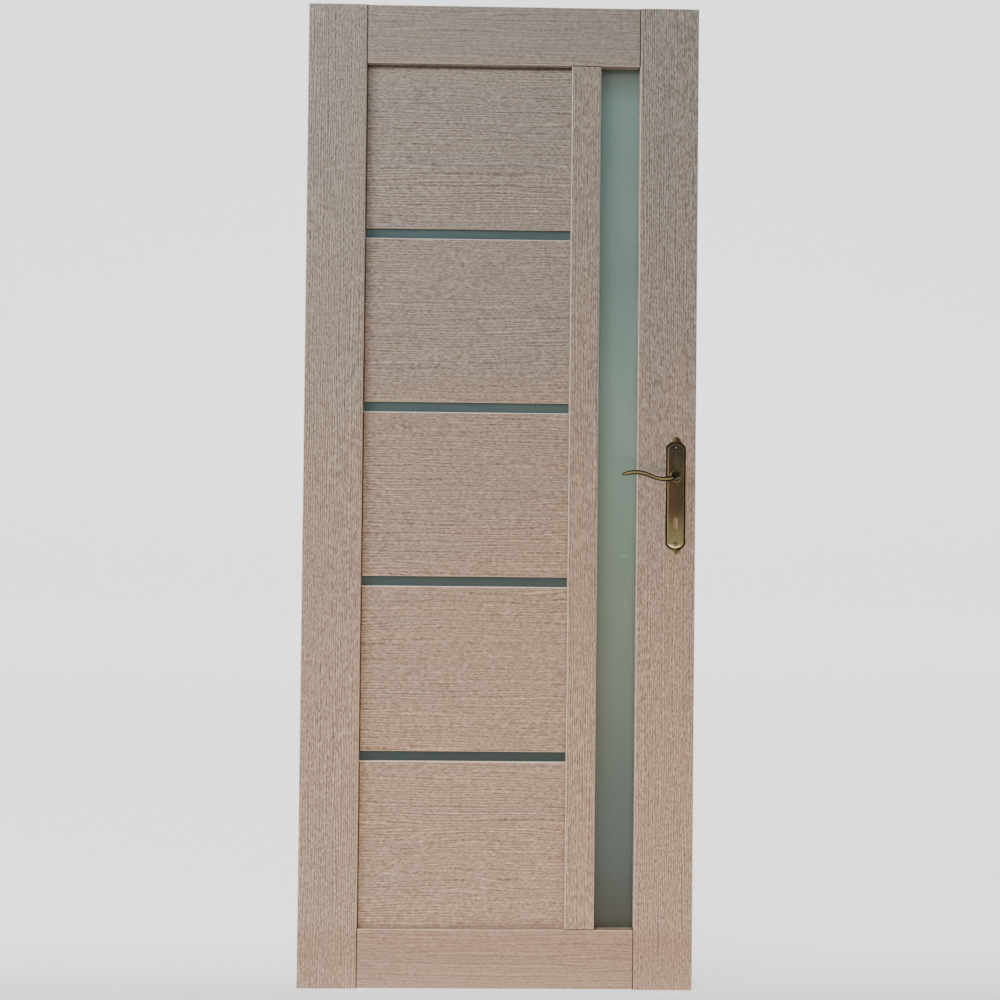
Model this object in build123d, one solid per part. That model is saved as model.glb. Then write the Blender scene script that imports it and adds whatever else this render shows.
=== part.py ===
from build123d import *
from math import cos, radians, sin
import os

os.makedirs("parts", exist_ok=True)

# A glazed interior door leaf. Sizes are in millimetres. X runs from the hinge edge to the
# lock edge, the front faces -Y, Z runs up from the foot, and Y = 0 is mid-thickness.

# The leaf
leaf_width = 800.0
leaf_height = 2000.0
leaf_thickness = 40.0

# Frame members: solid cores wrapped in foil, so every long arris is rounded
hinge_stile_width = 120.0
lock_stile_width = 120.0
top_rail_height = 120.0
bottom_rail_height = 120.0
mullion_width = 60.0
arris_radius = 3.0

# Panels: five boards of one height, tongued into the frame
panel_count = 5
panel_thickness = 16.0
panel_arris_radius = 2.0
tongue_thickness = 8.0
tongue_depth = 10.0

# Glass: four strips between the panels and one tall pane beside the lock stile
glass_thickness = 4.0
strip_height = 20.0
strip_bite = 8.0
side_glass_width = 80.0
side_glass_bite = 10.0

# Room left in the grooves
groove_side_room = 0.2
groove_end_room = 0.5

# Lever furniture: a cast brass backplate and lever on each face
lever_height = 1041.0
lever_backset = 41.5
plate_drop = 40.0
plate_width = 40.0
plate_straight = 200.0
plate_base = 2.2
plate_bevel = 0.9
shoulder_rise = 9.5
finial_width = 20.0
finial_height = 10.5
bud_swell_depth = 0.9
field_width = 33.0
field_length = 213.0
field_arch_rise = 10.5
field_rise = 1.6
field_bevel = 1.0
collar_radius = 12.0
collar_rise = 2.4
collar_bevel = 1.2
key_drop = 88.0
key_eye_radius = 5.0
key_slot_width = 9.4
key_slot_length = 20.5
key_slot_corner = 3.6
screw_spacing = 196.5
screw_hole_radius = 2.3

# Lever and spindle
spigot_radius = 8.0
spigot_room = 0.25
neck_radius = 8.6
neck_gap = 0.5
lever_stand = 47.0
lever_reach = 115.0
lever_dip = 7.6
lever_crest = 6.0
blade_tall = 9.0
blade_waist = 8.2
blade_deep = 8.8
tip_radius = 3.1
lever_flats = 14
spindle_side = 8.0
spindle_room = 0.1
spindle_grip = 18.0
spindle_hole_radius = 6.5

# Mortise latch in the lock edge
latch_face_width = 25.0
latch_face_height = 84.0
latch_face_thickness = 3.0
latch_face_corner = 4.0
latch_screw_spacing = 68.0
latch_screw_hole_radius = 3.0
latch_case_width = 16.0
latch_case_height = 48.0
latch_case_tail = 22.0
latch_bolt_height = 15.0
latch_bolt_width = 12.0
latch_bolt_length = 24.0
latch_room = 0.2

# Places that follow from the sizes above
half = leaf_thickness / 2
field_left = hinge_stile_width
field_right = leaf_width - lock_stile_width - side_glass_width - mullion_width
mullion_right = field_right + mullion_width
lock_stile_left = leaf_width - lock_stile_width
clear_bottom = bottom_rail_height
clear_top = leaf_height - top_rail_height
clear_height = clear_top - clear_bottom
panel_height = (clear_height - (panel_count - 1) * strip_height) / panel_count
lever_x = leaf_width - lever_backset
plate_z = lever_height - plate_drop


def block(x0, x1, depth, z0, z1):
    """A box between two places in X and in Z, centred on the leaf's thickness."""
    return Pos((x0 + x1) / 2, 0, (z0 + z1) / 2) * Box(x1 - x0, depth, z1 - z0)


def upright(x0, x1, z0, z1):
    """A frame member that stands, its four long arrises rounded."""
    profile = Pos((x0 + x1) / 2, 0, z0) * RectangleRounded(x1 - x0, leaf_thickness, arris_radius)
    return extrude(profile, z1 - z0)


def crosspiece(x0, x1, z0, z1):
    """A frame member that lies across, its four long arrises rounded."""
    profile = RectangleRounded(leaf_thickness, z1 - z0, arris_radius)
    return extrude(Plane.YZ.offset(x0) * Pos(0, (z0 + z1) / 2) * profile, x1 - x0)


def groove(x0, x1, thickness, z0, z1):
    """The room that a tongue or a pane needs in its neighbours."""
    side = groove_side_room
    end = groove_end_room
    return block(x0 - end, x1 + end, thickness + 2 * side, z0 - end, z1 + end)


# Panels, counted from the top. Each rests between two glass strips or against a rail.
def panel_span(number):
    top = clear_top - number * (panel_height + strip_height)
    return top - panel_height, top


def panel_tongue_span(number):
    low, high = panel_span(number)
    if number == 0:
        high += tongue_depth
    if number == panel_count - 1:
        low -= tongue_depth
    return low, high


def strip_span(number):
    low, high = panel_span(number)
    return low - strip_height - strip_bite, low + strip_bite


tongue_left = field_left - tongue_depth
tongue_right = field_right + tongue_depth
strip_left = field_left - strip_bite
strip_right = field_right + strip_bite
pane_left = mullion_right - side_glass_bite
pane_right = lock_stile_left + side_glass_bite
pane_low = clear_bottom - side_glass_bite
pane_high = clear_top + side_glass_bite

strip_grooves = []
for number in range(panel_count - 1):
    low, high = strip_span(number)
    strip_grooves.append(groove(strip_left, strip_right, glass_thickness, low, high))

tongue_grooves = []
for number in range(panel_count):
    low, high = panel_tongue_span(number)
    tongue_grooves.append(groove(tongue_left, tongue_right, tongue_thickness, low, high))

pane_groove = groove(pane_left, pane_right, glass_thickness, pane_low, pane_high)


def panel(number):
    """One board: rounded along the edges that meet glass, tongued where it enters the frame."""
    low, high = panel_span(number)
    profile = Rectangle(panel_thickness, high - low)
    corners = profile.vertices().sort_by(Axis.Y)
    rounded = []
    if number > 0:
        rounded += corners[2:]
    if number < panel_count - 1:
        rounded += corners[:2]
    profile = fillet(rounded, panel_arris_radius)
    end_plane = Plane.YZ.offset(field_left)
    board = extrude(end_plane * Pos(0, (low + high) / 2) * profile, field_right - field_left)
    tongue_low, tongue_high = panel_tongue_span(number)
    board += block(tongue_left, tongue_right, tongue_thickness, tongue_low, tongue_high)
    for cut in strip_grooves[max(number - 1, 0) : number + 1]:
        board -= cut
    return board


# The frame, with the grooves that hold the panels and the glass
hinge_stile = upright(0, hinge_stile_width, 0, leaf_height)
lock_stile = upright(lock_stile_left, leaf_width, 0, leaf_height)
top_rail = crosspiece(hinge_stile_width, lock_stile_left, clear_top, leaf_height)
bottom_rail = crosspiece(hinge_stile_width, lock_stile_left, 0, clear_bottom)
mullion = upright(field_right, mullion_right, clear_bottom, clear_top)
for cut in strip_grooves + tongue_grooves:
    hinge_stile -= cut
    mullion -= cut
top_rail -= tongue_grooves[0]
bottom_rail -= tongue_grooves[-1]
lock_stile -= pane_groove
mullion -= pane_groove
top_rail -= pane_groove
bottom_rail -= pane_groove

# Latch: a flat case mortised into the lock edge, behind a flush faceplate with a drawn-in bolt
edge_plane = Plane(origin=(leaf_width, 0, lever_height), x_dir=(0, 1, 0), z_dir=(1, 0, 0))
face_outline = RectangleRounded(latch_face_width, latch_face_height, latch_face_corner)
seat_outline = offset(face_outline, latch_room, kind=Kind.ARC)
bolt_outline = Rectangle(latch_bolt_width, latch_bolt_height)
bolt_window = offset(bolt_outline, latch_room, kind=Kind.INTERSECTION)
case_outline = Rectangle(latch_case_width, latch_case_height)
case_pocket = offset(case_outline, latch_room, kind=Kind.INTERSECTION)
case_length = lever_backset + latch_case_tail - latch_face_thickness
case_mouth = edge_plane.offset(-latch_face_thickness)
spindle_plane = Plane(origin=(lever_x, half, lever_height), x_dir=(1, 0, 0), z_dir=(0, -1, 0))
spindle_bore = extrude(spindle_plane * Circle(spindle_hole_radius), leaf_thickness)

latch_bolt = extrude(edge_plane * bolt_outline, -latch_bolt_length)
bolt_room = extrude(edge_plane * bolt_window, -latch_bolt_length - latch_room)
latch_faceplate = extrude(edge_plane * face_outline, -latch_face_thickness) - bolt_room
for end in (-1, 1):
    hole = Pos(0, end * latch_screw_spacing / 2) * Circle(latch_screw_hole_radius)
    latch_faceplate -= extrude(edge_plane * hole, -latch_face_thickness)
latch_case = extrude(case_mouth * case_outline, -case_length)
latch_case = latch_case - bolt_room - spindle_bore

lock_stile -= extrude(edge_plane * seat_outline, -latch_face_thickness)
lock_stile -= extrude(case_mouth * case_pocket, -case_length - latch_room)
lock_stile -= spindle_bore

# Backplate: straight sides, sloping shoulders, a domed finial above and a budded one below,
# with a raised field, arched at both ends, and a collar for the lever
face_plane = Plane(origin=(lever_x, -half, plate_z), x_dir=(1, 0, 0), z_dir=(0, -1, 0))
side = plate_width / 2
waist = finial_width / 2
rise = plate_straight / 2
neckline = rise + shoulder_rise
crown = neckline + finial_height
bud_x = waist / 2 + bud_swell_depth
bud_y = neckline + finial_height / 2 + bud_swell_depth
body_outline = Polygon(
    (side, rise),
    (waist, neckline),
    (-waist, neckline),
    (-side, rise),
    (-side, -rise),
    (-waist, -neckline),
    (waist, -neckline),
    (side, -rise),
    align=None,
)
dome_outline = Pos(0, crown - waist) * Circle(waist)
bud_edge = [
    Line((waist, -neckline), (waist, -rise)),
    Line((waist, -rise), (-waist, -rise)),
    Line((-waist, -rise), (-waist, -neckline)),
    ThreePointArc((-waist, -neckline), (-bud_x, -bud_y), (0, -crown)),
    ThreePointArc((0, -crown), (bud_x, -bud_y), (waist, -neckline)),
]
bud_outline = make_face(Curve() + bud_edge)

field_side = field_width / 2
field_end = field_length / 2
field_spring = field_end - field_arch_rise
field_edge = [
    Line((field_side, -field_spring), (field_side, field_spring)),
    ThreePointArc((field_side, field_spring), (0, field_end), (-field_side, field_spring)),
    Line((-field_side, field_spring), (-field_side, -field_spring)),
    ThreePointArc((-field_side, -field_spring), (0, -field_end), (field_side, -field_spring)),
]
field_outline = make_face(Curve() + field_edge)
lever_place = Pos(0, plate_drop)
key_place = Pos(0, plate_drop - key_drop)
slot_middle = Pos(0, -key_slot_length / 2)
key_slot = slot_middle * RectangleRounded(key_slot_width, key_slot_length, key_slot_corner)
key_outline = key_place * (Circle(key_eye_radius) + key_slot)
plate_front = plate_base + field_rise


def raised(outline, height, bevel):
    """A flat casting on the leaf's face, its upper edge bevelled all round."""
    slab = extrude(face_plane * outline, height)
    return chamfer(slab.faces().sort_by(Axis.Y)[0].edges(), bevel)


front_plate = raised(body_outline, plate_base, plate_bevel)
front_plate += raised(dome_outline, plate_base, plate_bevel)
front_plate += raised(bud_outline, plate_base, plate_bevel)
front_plate += raised(field_outline, plate_front, field_bevel)
front_plate += raised(lever_place * Circle(collar_radius), plate_front + collar_rise, collar_bevel)
spigot_bore = lever_place * Circle(spigot_radius + spigot_room)
front_plate -= extrude(face_plane * spigot_bore, plate_front + collar_rise)
front_plate -= extrude(face_plane * key_outline, plate_front)
for end in (-1, 1):
    hole = Pos(0, end * screw_spacing / 2) * Circle(screw_hole_radius)
    front_plate -= extrude(face_plane * hole, plate_front)


def oval(tall, deep):
    """A cross-section of the lever: an oval with small flats all round."""
    corners = []
    for number in range(lever_flats):
        turn = radians((number + 0.5) * 360 / lever_flats)
        corners.append((tall * cos(turn), deep * sin(turn)))
    return Polygon(*corners, align=None)


# Lever: one casting whose round neck bends over into an S-curved blade with a rounded tip.
# Its sections are ovals set square to the spine, about one neck radius apart.
collar_front = plate_front + collar_rise
neck_start = collar_front + neck_gap
bend = lever_stand - neck_start
stations = [
    # along the blade, out from the leaf, up from the axis, half height, half depth
    (0, neck_start, 0, neck_radius, neck_radius),
    (0, neck_start + bend * 0.256, 0, neck_radius * 0.95, neck_radius * 0.95),
    (lever_reach * 0.007, neck_start + bend * 0.516, -lever_dip * 0.05, neck_radius * 0.9, neck_radius * 0.9),
    (lever_reach * 0.044, neck_start + bend * 0.764, -lever_dip * 0.28, neck_radius * 0.8, neck_radius * 0.8),
    (lever_reach * 0.113, neck_start + bend * 0.938, -lever_dip * 0.65, blade_tall * 0.66, blade_deep * 0.66),
    (lever_reach * 0.200, lever_stand, -lever_dip * 0.94, blade_tall * 0.55, blade_deep * 0.56),
    (lever_reach * 0.291, lever_stand, -lever_dip, blade_waist * 0.53, blade_deep * 0.49),
    (lever_reach * 0.383, lever_stand, -lever_dip * 0.79, blade_waist * 0.50, blade_deep * 0.48),
    (lever_reach * 0.470, lever_stand, -lever_dip * 0.34, blade_waist * 0.51, blade_deep * 0.48),
    (lever_reach * 0.557, lever_stand, lever_crest * 0.27, blade_tall * 0.48, blade_deep * 0.49),
    (lever_reach * 0.644, lever_stand, lever_crest * 0.79, blade_tall * 0.50, blade_deep * 0.50),
    (lever_reach * 0.735, lever_stand, lever_crest, blade_tall * 0.50, blade_deep * 0.48),
    (lever_reach * 0.826, lever_stand, lever_crest * 0.94, blade_tall * 0.49, blade_deep * 0.46),
    (lever_reach * 0.913, lever_stand, lever_crest * 0.64, blade_tall * 0.44, blade_deep * 0.41),
    (lever_reach - tip_radius, lever_stand, lever_crest * 0.28, tip_radius, tip_radius),
]
spine = []
for along, out, up, tall, deep in stations:
    spine.append(Vector(lever_x - along, -half - out, lever_height + up))

sections = []
for number, (along, out, up, tall, deep) in enumerate(stations):
    before = spine[max(number - 1, 0)]
    after = spine[min(number + 1, len(spine) - 1)]
    heading = (after - before).normalized()
    upward = Vector(0, 0, 1) - heading * heading.Z
    section_plane = Plane(origin=spine[number], x_dir=upward, z_dir=heading)
    sections.append(section_plane * oval(tall, deep))
front_lever = loft(sections)
front_lever += Pos(spine[-1]) * Sphere(tip_radius)

plate_back_gap = neck_gap
spigot_foot = (lever_x, -half - plate_back_gap, lever_height)
spigot_plane = Plane(origin=spigot_foot, x_dir=(1, 0, 0), z_dir=(0, -1, 0))
front_lever += extrude(spigot_plane * Circle(spigot_radius), neck_start - plate_back_gap)
socket_side = spindle_side + 2 * spindle_room
socket_depth = spindle_grip + spindle_room
front_lever -= extrude(spigot_plane * Rectangle(socket_side, socket_side), socket_depth)

spindle_length = leaf_thickness + 2 * (plate_back_gap + spindle_grip)
spindle = Pos(lever_x, 0, lever_height) * Box(spindle_side, spindle_length, spindle_side)

# The unseen face repeats the one that shows
back_plate = mirror(front_plate, Plane.XZ)
back_lever = mirror(front_lever, Plane.XZ)

export_step(hinge_stile, "parts/hinge_stile.step")
export_step(lock_stile, "parts/lock_stile.step")
export_step(top_rail, "parts/top_rail.step")
export_step(bottom_rail, "parts/bottom_rail.step")
export_step(mullion, "parts/mullion.step")
for number in range(panel_count):
    export_step(panel(number), f"parts/panel_{number + 1}.step")
for number in range(panel_count - 1):
    low, high = strip_span(number)
    strip = block(strip_left, strip_right, glass_thickness, low, high)
    export_step(strip, f"parts/glass_strip_{number + 1}.step")
export_step(block(pane_left, pane_right, glass_thickness, pane_low, pane_high), "parts/side_glass.step")
export_step(front_plate, "parts/front_plate.step")
export_step(back_plate, "parts/back_plate.step")
export_step(front_lever, "parts/front_lever.step")
export_step(back_lever, "parts/back_lever.step")
export_step(spindle, "parts/spindle.step")
export_step(latch_case, "parts/latch_case.step")
export_step(latch_faceplate, "parts/latch_faceplate.step")
export_step(latch_bolt, "parts/latch_bolt.step")
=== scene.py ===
import math

import bmesh
import bpy
from mathutils import Matrix, Vector


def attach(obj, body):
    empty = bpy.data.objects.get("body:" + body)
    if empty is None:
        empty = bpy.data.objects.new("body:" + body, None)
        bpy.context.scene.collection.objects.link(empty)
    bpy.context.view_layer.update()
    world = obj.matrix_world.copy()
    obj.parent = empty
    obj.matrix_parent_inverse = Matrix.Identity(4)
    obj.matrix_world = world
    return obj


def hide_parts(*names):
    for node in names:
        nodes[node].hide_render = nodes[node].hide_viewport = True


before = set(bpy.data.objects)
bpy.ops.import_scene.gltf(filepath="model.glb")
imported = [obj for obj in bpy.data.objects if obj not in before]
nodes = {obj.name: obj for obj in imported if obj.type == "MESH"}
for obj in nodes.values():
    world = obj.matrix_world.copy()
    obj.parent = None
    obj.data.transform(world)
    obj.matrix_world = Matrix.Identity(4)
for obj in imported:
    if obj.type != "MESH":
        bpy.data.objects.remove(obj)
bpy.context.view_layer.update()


# The stiles and the mullion: upright softwood members wrapped in an embossed foil printed as
# bleached oak. The foil is drawn lengthwise round each core, so its grain stands upright. Its
# arrises are paled, partly scuffed and partly a painted highlight, and its colour is darkened at
# the leaf's foot as painted shade.
class Field:
    """A value that varies over a surface: arithmetic adds Math nodes, and node() adds any other."""

    def __init__(self, tree, socket):
        self.tree = tree
        self.socket = socket

    def node(self, kind, settings=None, sockets=None, output=0):
        made = self.tree.nodes.new(kind)
        for name, value in (settings or {}).items():
            setattr(made, name, value)
        for name, value in (sockets or {}).items():
            if isinstance(value, Field):
                self.tree.links.new(value.socket, made.inputs[name])
            else:
                made.inputs[name].default_value = value
        return Field(self.tree, made.outputs[output])

    def math(self, operation, *others):
        operands = dict(enumerate((self, *others)))
        return self.node("ShaderNodeMath", {"operation": operation}, operands)

    def __add__(self, other):
        return self.math("ADD", other)

    def __sub__(self, other):
        return self.math("SUBTRACT", other)

    def __rsub__(self, other):
        return self.node("ShaderNodeMath", {"operation": "SUBTRACT"}, {0: other, 1: self})

    def __mul__(self, other):
        return self.math("MULTIPLY", other)

    def __pow__(self, other):
        return self.math("POWER", other)

    def __abs__(self):
        return self.math("ABSOLUTE")

    __radd__ = __add__
    __rmul__ = __mul__

    def along(self, axis):
        """One axis of a place or of a direction."""
        return self.node("ShaderNodeSeparateXYZ", {}, {0: self}, output=axis)

    def step(self, low, high):
        """0 at low, 1 at high, and a soft climb between them. High may be the lesser."""
        return self.node(
            "ShaderNodeMapRange",
            {"interpolation_type": "SMOOTHSTEP", "clamp": True},
            {"Value": self, "From Min": low, "From Max": high},
        )

    def blend(self, first, second):
        """The first colour where the value is 0 and the second where it is 1."""
        colours = {0: self, 6: first, 7: second}
        return self.node("ShaderNodeMix", {"data_type": "RGBA"}, colours, output=2)

    def shift(self, by):
        """A place moved along each axis."""
        return self.node("ShaderNodeVectorMath", {"operation": "ADD"}, {0: self, 1: by})

    def stretch(self, scale):
        """A place scaled differently along each axis."""
        return self.node("ShaderNodeVectorMath", {"operation": "MULTIPLY"}, {0: self, 1: scale})

    def noise(self, scale, detail=2.0, roughness=0.5):
        return self.node(
            "ShaderNodeTexNoise",
            {"noise_dimensions": "3D"},
            {"Vector": self, "Scale": scale, "Detail": detail, "Roughness": roughness},
        )

    def bump(self, strength, distance):
        """The surface's facing, tilted as if the value were a height."""
        relief = {"Strength": strength, "Distance": distance, "Height": self}
        return self.node("ShaderNodeBump", {}, relief)


def colour(red, green, blue):
    """A colour given as a paint chart would, 0 to 255, in the linear values that shaders use."""
    linear = []
    for part in (red, green, blue):
        part /= 255
        linear.append(part / 12.92 if part <= 0.04045 else ((part + 0.055) / 1.055) ** 2.4)
    return (*linear, 1.0)


def finish(name, **constant):
    """A new finish, its shader, and the place of a point on the piece."""
    made = bpy.data.materials.new(name)
    made.use_nodes = True
    shader = made.node_tree.nodes["Principled BSDF"]
    for socket, value in constant.items():
        shader.inputs[socket.replace("_", " ")].default_value = value
    place = Field(made.node_tree, None).node("ShaderNodeTexCoord", output="Object")
    return made, shader, place


def feed(shader, **varying):
    """Links values that vary over the surface to the shader's sockets."""
    for socket, value in varying.items():
        value.tree.links.new(value.socket, shader.inputs[socket.replace("_", " ")])


def dress(piece, made):
    """Gives a piece its finish."""
    if not piece.data.materials:
        piece.data.materials.append(made)
    for number in range(len(piece.data.materials)):
        piece.data.materials[number] = made


def oak_foil(name, upright, lot, wander, depth, seams=(), head=None):
    """Bleached-oak foil, cut from the print at lot: wander bends its grain, depth is its contrast.

    seams are dark lines where it meets a neighbour (axis, place, reach, strength), on the panels
    also painted shadow, and head is the height of an edge painted pale as a highlight."""
    made, shader, place = finish(name, Specular_IOR_Level=0.30)
    moved = place.shift(lot)
    slow = (3.5, 3.5, 0.9) if upright else (1.6, 5.0, 5.0)
    bend = (moved.stretch(slow).noise(1.0, 1.0, 0.4) - 0.5) * wander
    sideways = ("X", "Y") if upright else ("Y", "Z")
    sway = bend.node("ShaderNodeCombineXYZ", {}, {axis: bend for axis in sideways})
    bent = moved.shift(sway)

    def streaks(across, along, detail=0.0, start=bent):
        """Noise drawn out with the grain: its changes in a metre across it and along it."""
        scale = (across, across, along) if upright else (along, across, across)
        return start.stretch(scale).noise(1.0, detail) - 0.5

    # Pores stand at an even pitch that drifts and fades. A dash is a fibre and the shade beside it.
    pitch, shade_gap, fibres = (0.0043, 0.0021, 330.0) if upright else (0.0056, 0.0028, 270.0)
    fibre_ends, least_pore = 150.0, 0.05
    pore_share, dash_share, ring_share = 1.3, 2.2, 0.04
    beside = bent.shift((shade_gap, shade_gap, 0.0) if upright else (0.0, shade_gap, shade_gap))
    bands = streaks(24.0, 1.3, 1.0)
    rings = streaks(110.0, 4.0, 1.0)
    dashes = streaks(fibres, fibre_ends) - streaks(fibres, fibre_ends, start=beside)
    drift = streaks(95.0, 5.0) * 13.0 + streaks(60.0, 25.0) * 2.5
    pores = (bent.along("X" if upright else "Z") * (math.tau / pitch) + drift).math("SINE")
    fade = streaks(210.0, 130.0) * 2.6 + streaks(9.0, 2.0) * 1.2 + 0.55
    fade = fade.math("MAXIMUM", least_pore)
    relief = (pores * fade * pore_share + dashes * dash_share) * depth
    grain = 0.5 + relief + rings * ring_share

    tone, ink_curve = 0.5 + bands * 1.3, 1.25
    brown = tone.blend(colour(127, 109, 95), colour(115, 106, 100))
    cream = tone.blend(colour(213, 197, 179), colour(203, 194, 184))
    print_colour = (grain.math("MAXIMUM", 0.0) ** ink_curve).blend(brown, cream)

    # The arrises are paled: partly scuffed print, partly a painted highlight where the edges catch
    # the light.
    facing = place.node("ShaderNodeTexCoord", output="Normal")
    squarest = abs(facing.along("X")).math("MAXIMUM", abs(facing.along("Y")))
    squarest = squarest.math("MAXIMUM", abs(facing.along("Z")))
    scuffed_and_highlit = (1.0 - squarest).step(0.02, 0.22) * 0.8
    print_colour = scuffed_and_highlit.blend(print_colour, colour(240, 227, 210))
    # Painted shade: the colour is darkened towards the leaf's foot.
    foot_shade_top, foot_shade_full, foot_shade_share = 0.135, 0.095, 0.27
    foot_shade = place.along("Z").step(foot_shade_top, foot_shade_full) * foot_shade_share
    print_colour = foot_shade.blend(print_colour, colour(140, 104, 76))
    # Dark seam lines: joints between members, and on the panels painted shadow along the left edge
    # and under the top rail.
    for axis, at, reach, strength in seams:
        seam = abs(place.along(axis) - at).step(reach, reach * 0.4) * strength
        print_colour = seam.blend(print_colour, colour(58, 44, 34))
    # A painted highlight: the panel's top edge below each glass strip is made pale, where light
    # catches it.
    if head:
        highlight_reach, highlight_full = 0.0024, 0.0014
        highlit_edge = abs(place.along("Z") - head).step(highlight_reach, highlight_full)
        print_colour = highlit_edge.blend(print_colour, colour(246, 240, 230))
    feed(shader, Base_Color=print_colour)
    feed(shader, Roughness=0.56 - grain * 0.10)
    feed(shader, Normal=grain.bump(0.5, 0.0005))
    return made


stile_wander, stile_depth, mullion_depth = 0.010, 0.31, 0.27
for number, name in enumerate(("hinge_stile", "lock_stile")):
    lot = (0.37 * number, 0.0, 0.61 * number)
    dress(nodes[name], oak_foil(f"foil_{name}", True, lot, stile_wander, stile_depth))
opening_foot, opening_head, joint_reach = 0.120, 1.880, 0.0024
seams = (("Z", opening_foot, joint_reach, 1.0), ("Z", opening_head, joint_reach, 1.0))
lot = (0.74, 0.0, 1.22)
mullion_foil = oak_foil("foil_mullion", True, lot, stile_wander, mullion_depth, seams)
dress(nodes["mullion"], mullion_foil)


# The rails: cross members of the same core and foil, butted between the stiles. Their grain
# lies level, so it meets the stiles' grain square at each joint.
rail_wander, rail_depth = 0.016, 0.15
opening_left, opening_right, butt_reach = 0.120, 0.680, 0.0026
seams = (("X", opening_left, butt_reach, 1.0), ("X", opening_right, butt_reach, 1.0))
for number, name in enumerate(("top_rail", "bottom_rail")):
    lot = (0.53 * number, 0.0, 1.7 + 0.29 * number)
    dress(nodes[name], oak_foil(f"foil_{name}", False, lot, rail_wander, rail_depth, seams))


# The panels: five thin boards in the same foil, slid into grooves in the frame. Theirs is a
# flat-sawn figure: level grain that wanders in long shallow arches. The edge below each glass strip
# carries a painted highlight, each panel's left edge a painted shadow line, and the first panel a
# painted shadow where the top rail overhangs it.
panel_rise, panel_wander, panel_depth = 0.356, 0.035, 0.24
# Painted shadow along each panel's left edge and under the top rail.
shade_reach, shade = 0.0100, 0.7
seams = (("X", opening_left, joint_reach, 1.0), ("Z", opening_head, shade_reach, shade))
for number in range(1, 6):
    name = f"panel_{number}"
    lot = (0.71 * number, 0.0, 0.43 * number)
    head = opening_head - (number - 1) * panel_rise if number > 1 else None
    foil = oak_foil(f"foil_{name}", False, lot, panel_wander, panel_depth, seams, head)
    dress(nodes[name], foil)


# The four glass strips between the panels: narrow glass with a dark grey-green enamel behind it,
# slipped into the panels' edges before the leaf is closed up. Their colour is darkened downwards
# as painted shade, to hold its tone in the studio's low light.
strip_glass, shader, place = finish("strip_glass", IOR=1.5, Transmission_Weight=0.20)
strip_shade_below, strip_shade_deepest_at = 1.400, 0.200
smear = place.stretch((6.0, 6.0, 60.0)).noise(1.0, 2.0)
enamel = smear.step(0.3, 0.7).blend(colour(89, 111, 113), colour(97, 118, 119))
# Painted shade: the enamel darkens downwards.
strip_shade = place.along("Z").step(strip_shade_below, strip_shade_deepest_at)
enamel = strip_shade.blend(enamel, colour(54, 74, 80))
feed(shader, Base_Color=enamel)
feed(shader, Roughness=0.12 + smear * 0.10)
for number in range(1, 5):
    dress(nodes[f"glass_strip_{number}"], strip_glass)


# The tall pane beside the lock stile: satin-etched glass, grey-green, with the faint clouds
# that handling leaves on an etched face and two short scratches. Its colour is darkened downwards
# as painted shade, as the strips' is, and darkened near both ends as painted shadow of the rails.
satin_glass, shader, place = finish("satin_glass", IOR=1.5, Transmission_Weight=0.25)
across, height = place.along("X"), place.along("Z")
cloud = place.stretch((9.0, 9.0, 3.0)).noise(1.0, 2.0, 0.5)
etch = place.noise(900.0, 1.0)
tinted = cloud.step(0.25, 0.75).blend(colour(129, 159, 151), colour(141, 171, 163))
# Painted shade: the pane's colour deepens downwards.
pane_shade_below, pane_shade_deepest_at = 1.200, 0.200
tinted = height.step(pane_shade_below, pane_shade_deepest_at).blend(tinted, colour(84, 108, 112))
# Painted shade near both ends of the pane; the top one is the top rail's painted shadow.
for end_shade_start, end_shade_full, end_shade_share, end_shade in (
    (1.800, 1.880, 0.6, colour(94, 84, 66)),
    (0.300, 0.130, 0.65, colour(70, 72, 64)),
):
    tinted = (height.step(end_shade_start, end_shade_full) * end_shade_share).blend(tinted, end_shade)
scratches = (
    # middle across and up the leaf, half width, half height
    (0.657, 0.877, 0.0070, 0.0007),
    (0.660, 0.777, 0.0007, 0.0040),
)
scratch_edge, scratch_share = 0.0004, 0.6
for scratch_x, scratch_z, half_width, half_height in scratches:
    wide = abs(across - scratch_x).step(half_width + scratch_edge, half_width - scratch_edge)
    tall = abs(height - scratch_z).step(half_height + scratch_edge, half_height - scratch_edge)
    tinted = (wide * tall * scratch_share).blend(tinted, colour(206, 213, 207))
feed(shader, Base_Color=tinted)
feed(shader, Roughness=0.42 + cloud * 0.10)
feed(shader, Normal=etch.bump(0.08, 0.0002))
dress(nodes["side_glass"], satin_glass)


# The backplates: cast brass, darkened to an antique brown and rubbed back, so that gold shows
# along the raised field's edge and foot; the gold at the foot is partly wear and partly a painted
# reflection. The brown is darker towards the top as painted shade, each finial carries a painted
# highlight on its left, and the field's foot a pale painted highlight. The patina stays in the
# border and round the screws, where it is deepened as painted shade of a countersink.
lever_x, lever_z, plate_z = 0.7585, 1.041, 1.001
field_half_width, arch_radius, arch_centre = 0.0165, 0.0182, 0.0883
screw_reach = 0.09825


def antique_brass(name, wear):
    """Cast brass under a brown patina.

    wear gives the patina's colour, how far it is rubbed to gold or lit by painted highlights,
    and where a painted highlight leaves it pale and less metallic, if anywhere."""
    made, shader, place = finish(name, Metallic=1.0)
    brushed = place.stretch((900.0, 900.0, 40.0)).noise(1.0, 2.0)
    tarnish = place.stretch((70.0, 70.0, 35.0)).noise(1.0, 2.0, 0.6)
    patina, rubbed, painted_gleam = wear(place)
    gold = rubbed + (tarnish - 0.5) * 0.35 + (brushed - 0.5) * 0.25
    metal = gold.blend(patina, colour(250, 228, 156))
    # The painted highlight turns the metal pale and less metallic.
    if painted_gleam:
        metal = painted_gleam.blend(metal, colour(255, 244, 200))
        feed(shader, Metallic=1.0 - painted_gleam * 0.95)
    feed(shader, Base_Color=metal)
    feed(shader, Roughness=0.40 - gold * 0.12)
    feed(shader, Normal=brushed.bump(0.12, 0.0002))
    return made


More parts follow.
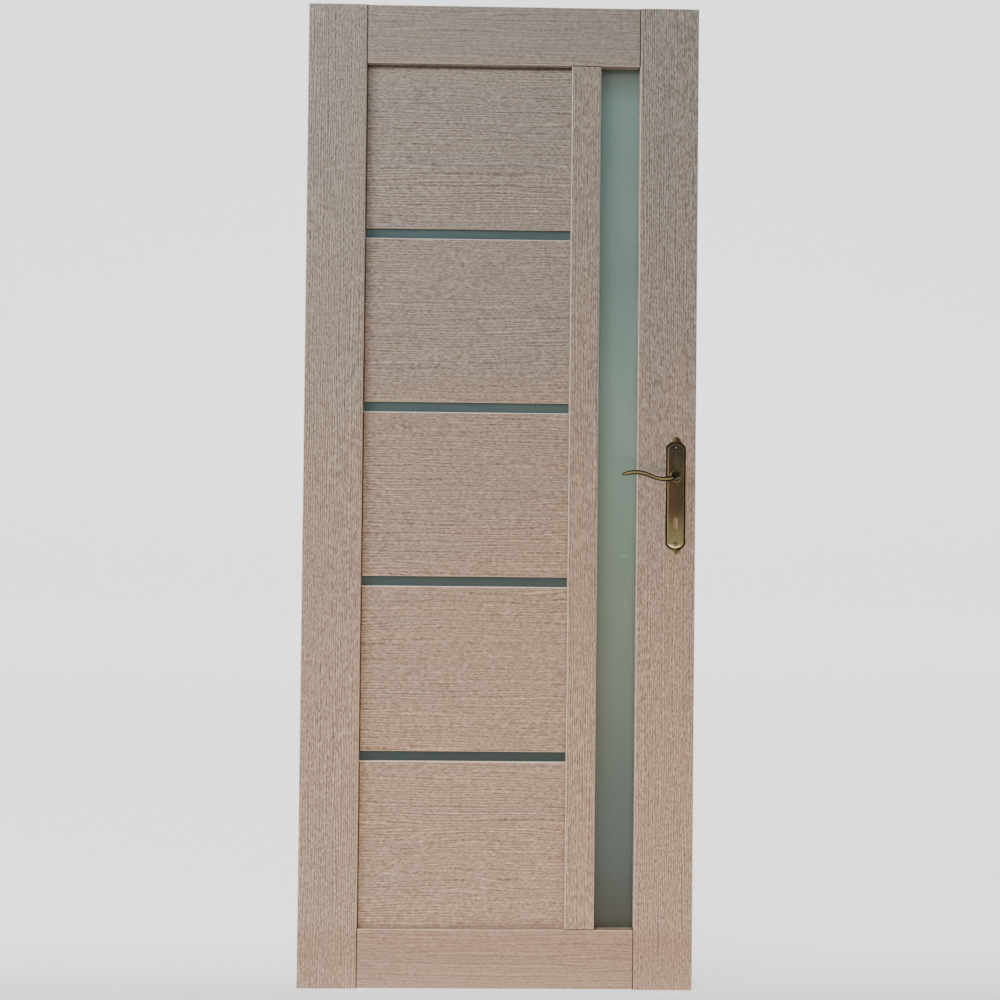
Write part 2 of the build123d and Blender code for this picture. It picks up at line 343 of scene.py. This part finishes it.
def plate_wear_and_light(place):
    """Wear, painted highlights and painted shade on a backplate, by the distance inside its raised
    field's edge and by height.
    """
    x, z = place.along("X") - lever_x, place.along("Z") - plate_z
    past = (abs(z) - arch_centre).math("MAXIMUM", 0.0)
    inside = arch_radius - (x * x + past * past) ** 0.5
    inside = inside.math("MINIMUM", field_half_width - abs(x))
    raised = inside.step(-0.0002, 0.0003)
    rim = raised - inside.step(0.0010, 0.0020)
    # Towards the foot the gold, on the field and its rim, is partly wear and partly a painted
    # reflection.
    lit_foot_start, lit_foot_full = -0.020, -0.105
    foot = z.step(lit_foot_start, lit_foot_full)
    brown = x.step(-0.014, 0.014).blend(colour(156, 115, 87), colour(134, 117, 89))
    # Painted shade: the brown darkens towards the top.
    brown = z.step(0.020, 0.090).blend(brown, colour(110, 95, 79))
    patina = raised.blend(colour(60, 57, 48), brown)
    rubbed = raised * (0.04 + foot * 0.95) + rim * (0.35 + foot * 0.4)

    finial_start, finial_full = 0.107, 0.113
    finial = abs(z).step(finial_start, finial_full)
    patina = finial.blend(patina, colour(120, 98, 70))
    # A painted highlight on each finial's left side, with gold towards the foot.
    rubbed = rubbed + finial * (x.step(0.003, -0.006) * 0.75 + foot * 0.25)

    climb = z - (lever_z - plate_z)
    from_axis = (x * x + climb * climb) ** 0.5
    collar = from_axis.step(0.0124, 0.0118)
    collar_top = from_axis.step(0.0112, 0.0104)
    rubbed = rubbed + (collar - collar_top) * 0.25
    patina = (collar * 0.7).blend(patina, colour(66, 60, 48))

    # Round each screw the plate is near black: patina, and painted shade standing for a
    # countersink.
    shaded_ring_radius, shaded_ring_full = 0.0046, 0.0036
    to_screw = abs(z) - screw_reach
    ring = ((x * x + to_screw * to_screw) ** 0.5).step(shaded_ring_radius, shaded_ring_full)
    # A painted highlight: a pale, less metallic gleam on the field's foot.
    gleam_start, gleam_full = -0.0965, -0.1035
    painted_gleam = raised * z.step(gleam_start, gleam_full) * (1.0 - ring)
    painted_gleam = painted_gleam * (0.55 + x.step(0.012, -0.004) * 0.45)
    return ring.blend(patina, colour(38, 33, 27)), rubbed - ring, painted_gleam


plate_brass = antique_brass("plate_brass", plate_wear_and_light)
for name in ("front_plate", "back_plate"):
    dress(nodes[name], plate_brass)


# The plates' screws: small countersunk brass screws with a cross recess, one above and one
# below on each face, turned in until the head lies just under the plate's face.
def add(name, mesh, made, body):
    """A finished piece from a bmesh: smooth faces, its finish, and the body that it rides on."""
    bmesh.ops.remove_doubles(mesh, verts=mesh.verts, dist=1e-6)
    bmesh.ops.recalc_face_normals(mesh, faces=mesh.faces)
    for face in mesh.faces:
        face.smooth = True
    data = bpy.data.meshes.new(name)
    mesh.to_mesh(data)
    mesh.free()
    piece = bpy.data.objects.new(name, data)
    bpy.context.scene.collection.objects.link(piece)
    dress(piece, made)
    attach(piece, body)
    return piece


plate_front, screw_radius, screw_sink = 0.0238, 0.0021, 0.0003
screw_brass, shader, place = finish("screw_brass", Metallic=1.0)
scuffs = place.noise(1400.0, 2.0)
bright = scuffs.step(0.35, 0.65).blend(colour(236, 230, 214), colour(250, 248, 240))
feed(shader, Base_Color=bright)
feed(shader, Roughness=0.30 + scuffs * 0.20)


def screw(radius):
    """A countersunk head with a cross recess, its flat face at the origin and facing +Z."""
    slot, reach, depth = radius * 0.14, radius * 0.62, radius * 0.5
    shank = 0.45
    mesh = bmesh.new()
    bmesh.ops.create_circle(mesh, cap_ends=True, radius=radius, segments=24)
    for axis in (Vector((1, 0, 0)), Vector((0, 1, 0))):
        for offset in (-reach, -slot, slot, reach):
            everything = mesh.verts[:] + mesh.edges[:] + mesh.faces[:]
            bmesh.ops.bisect_plane(
                mesh, geom=everything, dist=1e-7, plane_co=axis * offset, plane_no=axis
            )
    cross = []
    for face in mesh.faces:
        middle = face.calc_center_median()
        narrow, wide = sorted((abs(middle.x), abs(middle.y)))
        if narrow < slot and wide < reach:
            cross.append(face)
    sunk = bmesh.ops.extrude_face_region(mesh, geom=cross)["geom"]
    floor = [v for v in sunk if isinstance(v, bmesh.types.BMVert)]
    bmesh.ops.delete(mesh, geom=cross, context="FACES_ONLY")
    bmesh.ops.translate(mesh, vec=(0, 0, -depth), verts=floor)
    edge = [e for e in mesh.edges if e.is_boundary]
    skirt = bmesh.ops.extrude_edge_only(mesh, edges=edge)["geom"]
    foot = [v for v in skirt if isinstance(v, bmesh.types.BMVert)]
    bmesh.ops.translate(mesh, vec=(0, 0, -radius), verts=foot)
    bmesh.ops.scale(mesh, vec=(shank, shank, 1.0), verts=foot)
    return mesh


def set_screws(name, radius, places, made):
    """Screws joined in one piece on the leaf: a place, a facing and a turn for each."""
    whole = bmesh.new()
    for place, facing, turn in places:
        mesh = screw(radius)
        spun = Matrix.Rotation(math.radians(turn), 4, "Z")
        aimed = Vector(facing).to_track_quat("Z", "Y").to_matrix().to_4x4()
        mesh.transform(Matrix.Translation(place) @ aimed @ spun)
        data = bpy.data.meshes.new("screw")
        mesh.to_mesh(data)
        mesh.free()
        whole.from_mesh(data)
        bpy.data.meshes.remove(data)
    piece = add(name, whole, made, "leaf")
    for polygon in piece.data.polygons:
        polygon.use_smooth = False


for label, side in (("front", -1), ("back", 1)):
    places = []
    for end, turn in ((-1, 20), (1, 65)):
        at = (lever_x, side * (plate_front - screw_sink), plate_z + end * screw_reach)
        places.append((at, (0, side, 0), turn))
    set_screws(f"{label}_plate_screws", screw_radius, places, screw_brass)


# The levers: one brass casting on each face, its round neck bent over into an S-curved blade.
# The patina is rubbed to gold along the blade's face, where hands wear it; that gold stripe is
# also a painted highlight.
lever_stations = [
    # millimetres along the blade, out from the leaf, up from the axis, half height, half depth
    (0.0, 1.0, 0.0, 7.8, 7.8),
    (0.0, 6.2, 0.0, 7.9, 7.9),
    (0.0, 6.8, 0.0, 8.5, 8.5),
    (0.0, 17.0, 0.0, 8.2, 8.2),
    (0.8, 27.5, -0.4, 7.8, 7.8),
    (5.1, 37.5, -2.1, 6.9, 6.9),
    (13.0, 44.5, -4.9, 6.0, 5.9),
    (23.0, 46.9, -7.1, 5.0, 5.0),
    (33.5, 46.9, -7.6, 4.4, 4.3),
    (44.0, 46.9, -6.0, 4.1, 4.2),
    (54.0, 46.9, -2.6, 4.2, 4.2),
    (64.0, 46.9, 1.6, 4.3, 4.3),
    (74.0, 46.9, 4.7, 4.5, 4.4),
    (84.5, 46.9, 6.0, 4.5, 4.2),
    (95.0, 46.9, 5.6, 4.4, 4.1),
    (105.0, 46.9, 3.8, 4.0, 3.7),
    (112.4, 46.9, 1.6, 3.2, 3.1),
    (114.6, 46.9, 0.9, 2.0, 1.9),
]
millimetre, leaf_half = 0.001, 0.020


def lever_wear_and_light(place):
    """Wear on a lever: gold where the blade faces out from the leaf, partly wear and partly a
    painted highlight, and a paler patina on the neck.
    """
    facing = place.node("ShaderNodeTexCoord", output="Normal")
    # Painted highlight: the gold stripe follows the faces turned out from the leaf.
    highlit_facing = abs(facing.along("Y")) - facing.along("Z") * 0.04
    neck_end, blade_start = 0.004, 0.014
    along = lever_x - place.along("X")
    patina = along.step(neck_end, blade_start).blend(colour(84, 72, 54), colour(44, 38, 30))
    return patina, highlit_facing.step(0.88, 1.0) * 1.05 - 0.10, None


lever_brass = antique_brass("lever_brass", lever_wear_and_light)


def lever(label, side):
    """Rings drawn along the spine, each set square to it, then closed at the tip and subdivided."""
    axis = Vector((lever_x, side * leaf_half, lever_z))
    spine = []
    for along, out, up, _, _ in lever_stations:
        spine.append(axis + Vector((-along, side * out, up)) * millimetre)
    mesh = bmesh.new()
    ring = bmesh.ops.create_circle(mesh, cap_ends=False, radius=1.0, segments=20)["verts"]
    rim = mesh.edges[:]
    now = Matrix.Identity(4)
    for number, (_, _, _, tall, deep) in enumerate(lever_stations):
        before, after = spine[max(number - 1, 0)], spine[min(number + 1, len(spine) - 1)]
        heading = (after - before).normalized()
        upward = (Vector((0, 0, 1)) - heading * heading.z).normalized()
        axes = Matrix((upward, heading.cross(upward), heading)).transposed().to_4x4()
        swell = Matrix.Diagonal((tall * millimetre, deep * millimetre, 1.0, 1.0))
        then = Matrix.Translation(spine[number]) @ axes @ swell
        if number:
            grown = bmesh.ops.extrude_edge_only(mesh, edges=rim)["geom"]
            ring = [v for v in grown if isinstance(v, bmesh.types.BMVert)]
            edges = [e for e in grown if isinstance(e, bmesh.types.BMEdge)]
            rim = [e for e in edges if all(v in ring for v in e.verts)]
        bmesh.ops.transform(mesh, matrix=then @ now.inverted(), verts=ring)
        now = then
    bmesh.ops.contextual_create(mesh, geom=rim)
    piece = add(f"{label}_lever_skin", mesh, lever_brass, "lever_set")
    smooth = piece.modifiers.new("round", "SUBSURF")
    smooth.levels = smooth.render_levels = 2
    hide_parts(f"{label}_lever")


lever("front", -1)
lever("back", 1)


# The spindle and the latch: a square steel bar through the stile, and in the lock edge a steel
# case behind a brushed faceplate, held by two countersunk screws, with its bolt drawn in flush.
latch_steel, shader, place = finish("latch_steel", Metallic=1.0)
brushed = place.stretch((500.0, 700.0, 25.0)).noise(1.0, 3.0, 0.6)
steel = brushed.step(0.3, 0.7).blend(colour(150, 149, 146), colour(186, 185, 181))
feed(shader, Base_Color=steel)
feed(shader, Roughness=0.26 + brushed * 0.18)
feed(shader, Normal=brushed.bump(0.10, 0.0002))
for name in ("spindle", "latch_case", "latch_faceplate", "latch_bolt"):
    dress(nodes[name], latch_steel)
lock_edge, latch_screw_radius, latch_screw_reach = 0.800, 0.0029, 0.034
places = []
for end, turn in ((-1, 35), (1, 10)):
    at = (lock_edge - screw_sink, 0.0, lever_z + end * latch_screw_reach)
    places.append((at, (1, 0, 0), turn))
set_screws("latch_screws", latch_screw_radius, places, latch_steel)


# The studio: a pale floor swept up into a white backdrop that glows behind the leaf, one large
# soft light from the upper left, one overhead, and a warm low fill as a sunlit floor would throw.
floor_reach, backdrop_height, cove_radius = 8.0, 6.0, 1.5
glow_start, glow_full = -0.5, 0.3
studio_white, shader, place = finish(
    "studio_white", Roughness=0.9, Base_Color=colour(214, 214, 213), Emission_Strength=1.6
)
behind = place.along("Y").step(glow_start, glow_full)
feed(shader, Emission_Color=behind.blend(colour(0, 0, 0), colour(255, 255, 255)))
mesh = bmesh.new()
bmesh.ops.create_grid(mesh, x_segments=1, y_segments=1, size=floor_reach)
far_edge = [e for e in mesh.edges if all(v.co.y > 0 for v in e.verts)]
wall = bmesh.ops.extrude_edge_only(mesh, edges=far_edge)["geom"]
wall_top = [v for v in wall if isinstance(v, bmesh.types.BMVert)]
bmesh.ops.translate(mesh, vec=(0, 0, backdrop_height), verts=wall_top)
bmesh.ops.bevel(
    mesh, geom=far_edge, offset=cove_radius, segments=12, profile=0.5, affect="EDGES", material=-1
)
for face in mesh.faces:
    face.smooth = True
data = bpy.data.meshes.new("studio_sweep")
mesh.to_mesh(data)
mesh.free()
sweep = bpy.data.objects.new("studio_sweep", data)
bpy.context.scene.collection.objects.link(sweep)
dress(sweep, studio_white)

world = bpy.data.worlds.new("studio_air")
world.use_nodes = True
air = world.node_tree.nodes["Background"].inputs
air["Color"].default_value = (0.93, 0.97, 1.0, 1.0)
air["Strength"].default_value = 0.26
bpy.context.scene.world = world


def soft_light(name, place, target, size, power, tint):
    """A soft panel of light, size wide and high, aimed at a target."""
    lamp = bpy.data.lights.new(name, "AREA")
    lamp.shape = "RECTANGLE"
    lamp.size, lamp.size_y = size
    lamp.energy = power
    lamp.color = tint
    light = bpy.data.objects.new(name, lamp)
    light.location = place
    aim = Vector(target) - Vector(place)
    light.rotation_euler = aim.to_track_quat("-Z", "Y").to_euler()
    bpy.context.scene.collection.objects.link(light)
    return light


leaf_middle = (0.4, 0.0, 1.0)
soft_light("key", (-2.5, -1.8, 2.3), leaf_middle, (1.8, 1.8), 83.0, (0.98, 0.98, 0.98))
soft_light("overhead", (-0.1, -2.0, 3.3), (0.3, 0.0, 1.0), (2.4, 1.0), 19.0, (0.98, 0.98, 0.97))
warm, leaf_foot = (1.0, 0.56, 0.29), (0.5, 0.0, 0.3)
low_fill = soft_light("low_fill", (0.6, -1.6, 0.4), leaf_foot, (2.0, 0.4), 8.2, warm)
low_fill.visible_glossy = False
low_fill.data.spread = math.radians(100)


# The camera: about level with the middle of the leaf, 2.3 m away and a hair left of centre. Its
# slight turn and lean come from fitting it to the edges of the stiles, rails and strips.
lens_pixels, image_pixels, sensor = 1121.0, 1000.0, 36.0
eye_place = (0.3715, -2.2995, 0.9547)
ahead, over = Vector((0.01295, 0.9998, 0.01508)), Vector((-0.01056, -0.01494, 0.99983))
lens = bpy.data.cameras.new("eye")
lens.sensor_width = lens.sensor_height = sensor
lens.lens = lens_pixels / image_pixels * sensor
eye = bpy.data.objects.new("eye", lens)
right = ahead.cross(over).normalized()
turn = Matrix((right, right.cross(ahead), -ahead)).transposed().to_4x4()
eye.matrix_world = Matrix.Translation(eye_place) @ turn
bpy.context.scene.collection.objects.link(eye)
bpy.context.scene.camera = eye
